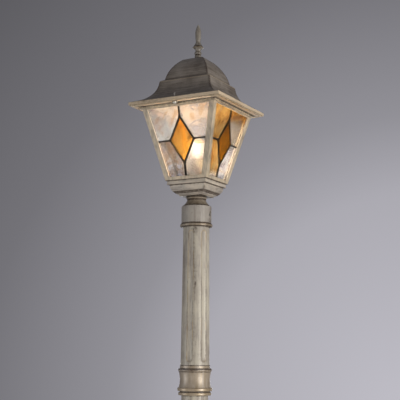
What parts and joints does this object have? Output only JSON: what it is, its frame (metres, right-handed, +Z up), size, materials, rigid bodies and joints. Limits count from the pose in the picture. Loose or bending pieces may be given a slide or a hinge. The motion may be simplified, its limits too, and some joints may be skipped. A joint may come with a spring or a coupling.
{
  "type": "garden lantern",
  "caption": "Square tapered garden lantern with leaded amber and clear glass under a bell roof with a finial, on a fluted post with a round bolt-down foot.",
  "frame": {"origin": "middle of the foot's underside, on the post's axis", "axes": "+Z up the post, -Y towards the front of the lantern, +X towards its right-hand face in the picture"},
  "size_m": [0.2, 0.2, 1.085],
  "materials": {
    "patina_casting": "cream paint with brown and gold rubbed into the recesses",
    "plated_steel": "zinc plated",
    "lead_came": "dark lead",
    "amber_glass": "streaky amber",
    "clear_glass": "rippled clear",
    "holder_ceramic": "pale matt",
    "brass_contact": "plain brass",
    "lamp_glass": "frosted"
  },
  "bodies": {
    "root": {"foot": "patina_casting", "lower_post": "patina_casting", "middle_collar": "patina_casting", "upper_post": "patina_casting", "head_collar": "patina_casting", "tray": "patina_casting", "cage": "patina_casting", "roof": "patina_casting", "finial": "patina_casting", "grub_screws": "plated_steel", "cage_screws": "plated_steel", "roof_screws": "plated_steel", "finial_nut": "plated_steel", "nipple": "plated_steel", "nipple_nuts": "plated_steel", "front_came": "lead_came", "front_amber_diamond": "amber_glass", "front_pane_upper_left": "clear_glass", "front_pane_upper_right": "clear_glass", "front_pane_lower_left": "clear_glass", "front_pane_lower_right": "clear_glass", "right_came": "lead_came", "right_amber_diamond": "amber_glass", "right_pane_upper_left": "clear_glass", "right_pane_upper_right": "clear_glass", "right_pane_lower_left": "clear_glass", "right_pane_lower_right": "clear_glass", "rear_came": "lead_came", "rear_amber_diamond": "amber_glass", "rear_pane_upper_left": "clear_glass", "rear_pane_upper_right": "clear_glass", "rear_pane_lower_left": "clear_glass", "rear_pane_lower_right": "clear_glass", "left_came": "lead_came", "left_amber_diamond": "amber_glass", "left_pane_upper_left": "clear_glass", "left_pane_upper_right": "clear_glass", "left_pane_lower_left": "clear_glass", "left_pane_lower_right": "clear_glass", "lampholder": "holder_ceramic", "screw_shell": "brass_contact", "centre_contact": "brass_contact", "lamp": "lamp_glass"}
  },
  "joints": []
}
